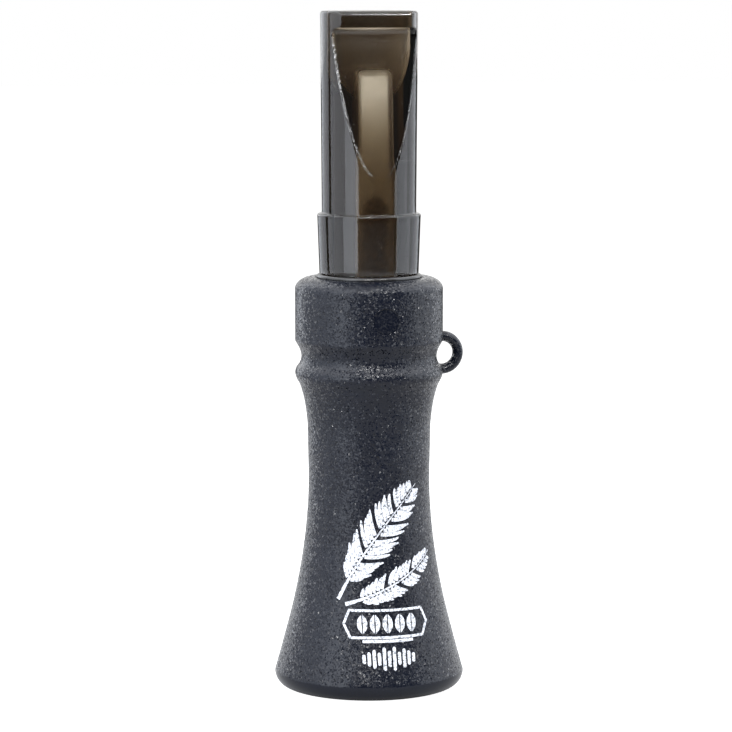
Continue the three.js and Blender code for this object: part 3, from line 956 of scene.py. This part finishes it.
def airway_loop(z, phi, grow=0.0):
    """One loop of the duct and the reed chamber, grown by a distance."""
    across, along = np.sin(phi), np.cos(phi)
    front = at_height(CHAMBER_FRONT, z)
    merged = np.clip((DUCT_WIDE_Z - z) / (DUCT_WIDE_Z - CHAMBER_TOP_Z), 0, 1)
    middle = DUCT_CENTRE_Y + ((CHAMBER_BACK - front) / 2 - DUCT_CENTRE_Y) * merged ** 2 * (3 - 2 * merged)
    radii = np.zeros(phi.shape)
    if z > DUCT_END_Z:
        half_x = DUCT_HALF_X * quarter_round(min((z - DUCT_END_Z) / (DUCT_WIDE_Z - DUCT_END_Z), 1))
        radii = oblong(across, along, half_x, at_height(DUCT_HALF_Y, z), DUCT_POWER)
    if z < CHAMBER_TOP_Z:
        drop = min((CHAMBER_TOP_Z - z) / CHAMBER_TOP_ROUND, 1)
        half_x = CHAMBER_HALF_X - CHAMBER_TOP_ROUND * (1 - quarter_round(drop))
        chamber = oblong(across, along, half_x, (front + CHAMBER_BACK) / 2, CHAMBER_POWER)
        radii = -soft_minimum(-radii, -chamber, AIRWAY_BLEND)
    radii = radii + grow
    return np.stack([radii * across, middle - radii * along, np.full(phi.shape, float(z))], axis=-1)


def between(start, end, shares):
    """Loops on the way from one loop to another."""
    return [start + (end - start) * share for share in shares]


def mouthpiece_end(phi):
    """The end face: round over the edge, flat to the duct's mouth, and round down into it."""
    start = CALL_TOP_Z - END_ROUND
    last = cut_section(tube_radius(start), start, phi)
    rows = []
    for dr, dz in arc((0, 0), END_ROUND, 0, 90, count=7):
        section = cut_section(tube_radius(start + dz) - (END_ROUND - dr), start + dz, phi)
        rows.append(around(np.minimum(section, last), start + dz, phi))
    rows += between(rows[-1], airway_loop(CALL_TOP_Z, phi, DUCT_MOUTH_ROUND), np.linspace(0, 1, 6)[1:])
    for dr, dz in arc((0, 0), DUCT_MOUTH_ROUND, 90, 180, count=6):
        rows.append(airway_loop(CALL_TOP_Z - DUCT_MOUTH_ROUND + dz, phi, DUCT_MOUTH_ROUND + dr))
    return rows


def mouthpiece_inside(phi):
    """Down the duct and the chamber, and out through the tone board's bore."""
    turn = np.linspace(0.05, math.pi / 2, 12)
    heights = levels(CALL_TOP_Z - DUCT_MOUTH_ROUND, DUCT_WIDE_Z, step=0.4)
    heights += levels(DUCT_WIDE_Z, CHAMBER_TOP_Z + 0.01, step=0.3)
    heights += [CHAMBER_TOP_Z - CHAMBER_TOP_ROUND * (1 - math.cos(a)) for a in turn]
    heights += levels(CHAMBER_TOP_Z - CHAMBER_TOP_ROUND, DUCT_END_Z, step=0.3)
    heights += levels(DUCT_END_Z, BOARD_BORE_TOP_Z, step=1.2)
    rows = [airway_loop(z, phi) for z in heights]
    rows += between(rows[-1], around(BOARD_BORE_R, BOARD_BORE_TOP_Z, phi), (0.5, 1))
    rows += [around(BOARD_BORE_R, z, phi) for z in levels(BOARD_BORE_TOP_Z, STOPPER_BOTTOM_Z, step=1.5)]
    rim = around(STOPPER_BOTTOM_R - STOPPER_CHAMFER, STOPPER_BOTTOM_Z, phi)
    rows += between(rows[-1], rim, (0.33, 0.66))
    return rows


def make_mouthpiece():
    """The columns crowd together at the front, where the bevel's border is."""
    turn = np.linspace(0, 2 * math.pi, MOUTHPIECE_COLUMNS, endpoint=False)
    phi = turn - COLUMN_CROWDING * np.sin(turn)
    profile = mouthpiece_profile()
    outside = [around(cut_section(r, z, phi), z, phi) for r, z in profile]
    end, inside = mouthpiece_end(phi), mouthpiece_inside(phi)
    piece = loft("mouthpiece_smoke", outside + end + inside)
    plain, dull = np.zeros(phi.shape), np.ones(phi.shape)
    wear_and_highlight = [edge_nearness(r, z, phi) for r, z in profile]
    point_attribute(piece, "near_edge", wear_and_highlight + [plain] * (len(end) + len(inside)))
    point_attribute(piece, "inside", [plain] * (len(outside) + len(end)) + [dull] * len(inside))
    finish_surface(piece, sharp_deg=40)
    return piece


def point_attribute(piece, name, rows):
    """Stores one number per point, in the order of the rows that the piece was lofted from."""
    values = piece.data.attributes.new(name, "FLOAT", "POINT")
    values.data.foreach_set("value", np.concatenate(rows).astype(np.float32))


def make_tone_board():
    """A round plug joined to a spine, with a trough in its face and an outlet down through the plug."""
    tip_y = BED_Y + (SPINE_TOP_Z - REED_PIVOT_Z) * FACE_SLOPE
    root_z = PLUG_TOP_Z - CUTTER_OVERRUN
    from_side = [(SPINE_BACK_Y, SPINE_TOP_Z), (tip_y, SPINE_TOP_Z), (BED_Y, REED_PIVOT_Z), (BED_Y, root_z),
                 (SPINE_BACK_Y, root_z)]
    from_front = [(-SPINE_HALF_X, root_z), (SPINE_HALF_X, root_z), (SPINE_HALF_X, SPINE_TOP_Z),
                  (-SPINE_HALF_X, SPINE_TOP_Z)]
    spine = extruded("spine", rounded(from_side, SPINE_SIDE_ROUND), "X", -CUTTER_REACH, CUTTER_REACH)
    front = extruded("front", rounded(from_front, SPINE_TIP_ROUND, count=6), "Y", -CUTTER_REACH, CUTTER_REACH)
    combine(spine, "INTERSECT", front, rod("spine_round", SPINE_ROUND_R, root_z, SPINE_TOP_Z, SPINE_EDGE))
    piece = rod("tone_board_insert", PLUG_R, PLUG_BOTTOM_Z, PLUG_TOP_Z, PLUG_EDGE)
    combine(piece, "UNION", spine)
    low, high = TROUGH_Z
    slot = arc((0, high - TROUGH_HALF_X), TROUGH_HALF_X, -20, 180, count=16)
    slot += arc((0, low + TROUGH_HALF_X), TROUGH_HALF_X, 160, 360, count=16)
    trough = extruded("trough", slot, "Y", -CUTTER_REACH, TROUGH_BACK_Y)
    outlet = rod("outlet", OUTLET_R, PLUG_BOTTOM_Z - CUTTER_OVERRUN, OUTLET_TOP_Z, OUTLET_EDGE)
    outlet.data.transform(Matrix.Translation((0, OUTLET_Y * MM, 0)))
    combine(piece, "DIFFERENCE", trough, outlet)
    finish_surface(piece, sharp_deg=30)
    return piece


def rod(name, radius, bottom, top, edge):
    """A solid cylinder along Z with rounded edges."""
    outline = [(radius - edge, bottom)]
    outline += arc((radius - edge, bottom + edge), edge, -90, 0, count=4)
    outline += line((radius, bottom + edge), (radius, top - edge), step=2.0)
    outline += arc((radius - edge, top - edge), edge, 0, 90, count=4)
    phi = np.linspace(0, 2 * math.pi, SOLID_COLUMNS, endpoint=False)
    rows = np.array([around(r, z, phi) for r, z in outline])
    last = (len(rows) - 1) * SOLID_COLUMNS
    faces = [tuple(range(SOLID_COLUMNS))[::-1], tuple(range(last, last + SOLID_COLUMNS))]
    for first in range(0, last, SOLID_COLUMNS):
        for j in range(SOLID_COLUMNS):
            here, after = first + j, first + (j + 1) % SOLID_COLUMNS
            faces.append((here, after, after + SOLID_COLUMNS, here + SOLID_COLUMNS))
    return mesh_object(name, rows.reshape(-1, 3), faces)


def make_reed():
    low, high = REED_Z
    corners = [(-REED_HALF_X, low), (REED_HALF_X, low), (REED_HALF_X, high), (-REED_HALF_X, high)]
    outline = rounded(corners, REED_TIP_ROUND, count=6)
    piece = extruded("reed_strip", outline, "Y", REED_BACK_Y - REED_THICK, REED_BACK_Y)
    bevelled(piece, REED_EDGE)
    finish_surface(piece)
    return piece


def make_wedge():
    low, high = WEDGE_Z
    outline = [(-WEDGE_HALF_X, low), (WEDGE_HALF_X, low)]
    outline += arc((0, high - WEDGE_HALF_X), WEDGE_HALF_X, 0, 180, count=24)
    piece = extruded("reed_wedge_block", outline, "Y", WEDGE_FRONT_Y, WEDGE_BACK_Y)
    bevelled(piece, WEDGE_EDGE, segments=3, angle_deg=50)
    finish_surface(piece)
    return piece


# ---------------------------------------------------------------- camera, light, floor

def towards(angle_deg):
    """The horizontal direction at an angle from the camera's, towards the picture's right."""
    angle = CAMERA_AZIMUTH + math.radians(angle_deg)
    return Vector((math.sin(angle), -math.cos(angle), 0))


def look_along(item, direction):
    item.rotation_euler = direction.to_track_quat("-Z", "Y").to_euler()


def make_camera():
    data = bpy.data.cameras.new("camera")
    data.lens = CAMERA_LENS
    data.sensor_width = SENSOR_WIDTH
    data.clip_start, data.clip_end = CAMERA_REACH
    camera = new_object("camera", data)
    beside = towards(90) * CAMERA_SIDESTEP + Vector((0, 0, CAMERA_HEIGHT))
    camera.location = towards(0) * CAMERA_DISTANCE + beside
    look_along(camera, -towards(0) * math.cos(CAMERA_PITCH) - Vector((0, 0, math.sin(CAMERA_PITCH))))
    bpy.context.scene.camera = camera


def area_light(name, width, height, radiance, location, direction):
    """A light that the camera itself doesn't see."""
    light = bpy.data.lights.new(name, "AREA")
    light.shape = "RECTANGLE"
    light.size = width
    light.size_y = height
    light.energy = radiance * math.pi * width * height
    lamp = new_object(name, light)
    lamp.visible_camera = False
    lamp.location = location
    look_along(lamp, direction)
    return light


def make_softboxes():
    for name, (start, end, radiance) in SOFTBOXES.items():
        outward = towards((start + end) / 2)
        width = 2 * SOFTBOX_DISTANCE * math.tan(math.radians(abs(end - start) / 2))
        location = outward * SOFTBOX_DISTANCE + Vector((0, 0, SOFTBOX_CENTRE_Z))
        light = area_light(name, width, SOFTBOX_HEIGHT, radiance, location, -outward)
        light.color = STUDIO_TINT


def make_lamps():
    for name, (angle, elevation_deg, size, radiance) in LAMPS.items():
        elevation = math.radians(elevation_deg)
        outward = towards(angle) * math.cos(elevation) + Vector((0, 0, math.sin(elevation)))
        location = outward * LAMP_DISTANCE + Vector((0, 0, CALL_TOP_Z * MM / 2))
        area_light(name, size, size, radiance, location, -outward)


def make_world():
    """White to the camera. As light, a bright ceiling and backdrop, and dim in front of the call."""
    world = bpy.data.worlds.new("studio")
    bpy.context.scene.world = world
    world.use_nodes = True
    nodes = Nodes(world.node_tree)
    direction = nodes.add("TexCoord", output="Generated")
    backward = nodes.add("VectorMath", {0: direction, 1: -towards(0)}, "Value", operation="DOT_PRODUCT")
    light = nodes.math("MAXIMUM", nodes.add("LightPath", output="Is Camera Ray"),
                       nodes.curve(backward, BACKDROP))
    light = nodes.math("MAXIMUM", light, nodes.curve(nodes.height(direction), CEILING))
    nodes.fill(world.node_tree.nodes["Background"], {"Strength": light, "Color": WHITE})


def make_floor():
    """A pale floor, white to the camera and through the clear plastic. Lit, it is darker further away, from
    painted shade in its colour.
    """
    half = FLOOR_HALF / MM
    floor = mesh_object("floor", [(-half, -half, 0), (half, -half, 0), (half, half, 0), (-half, half, 0)],
                        [(0, 1, 2, 3)])
    shader = Shader("pale_floor")
    seen = shader.math("MAXIMUM", shader.add("LightPath", output="Is Camera Ray"),
                       shader.add("LightPath", output="Is Transmission Ray"))
    # Painted shade: the floor's colour darkens with distance from the call.
    painted_shade = shader.ramp(shader.length(shader.place()), FLOOR_FADE[0] / MM, FLOOR_FADE[1] / MM)
    shader.set(
        Base_Color=shader.mix(painted_shade, (FLOOR_NEAR,) * 3 + (1,), (FLOOR_FAR,) * 3 + (1,)),
        Roughness=FLOOR_ROUGHNESS,
        Specular_IOR_Level=0.0,
        Emission_Color=WHITE,
        Emission_Strength=seen,
    )
    floor.data.materials.append(shader.material)


# ---------------------------------------------------------------- assembly

def install(piece, material, body, slot, *nodes):
    piece.data.materials.clear()
    piece.data.materials.append(material)
    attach(piece, body)
    if nodes:
        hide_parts(*nodes)


make_camera()
make_softboxes()
make_lamps()
make_world()
make_floor()
bpy.context.scene.view_settings.view_transform = "Standard"

install(make_barrel(), barrel_plastic(), "barrel", "barrel_plastic", "barrel")
install(make_seal_ring(), plain_plastic("seal_rubber", **SEAL_LOOK), "seal_ring", "seal_rubber", "seal_ring")
install(make_mouthpiece(), smoke_plastic(), "mouthpiece", "smoke_plastic", "mouthpiece")
ink = print_ink()
for name, ribbons in (("feather_print", feather(**LONG_FEATHER) + feather(**SHORT_FEATHER)),
                      ("badge_print", badge()), ("wave_print", wave())):
    install(printed(name, ribbons), ink, "barrel", "print_ink")
install(make_tone_board(), plain_plastic("ivory_plastic", **IVORY_LOOK), "tone_board", "ivory_plastic",
        "tone_board")
install(make_reed(), plain_plastic("reed_film", **FILM_LOOK), "reed", "reed_film", "reed")
install(make_wedge(), plain_plastic("wedge_rubber", **WEDGE_LOOK), "tone_board", "wedge_rubber",
        "reed_wedge")
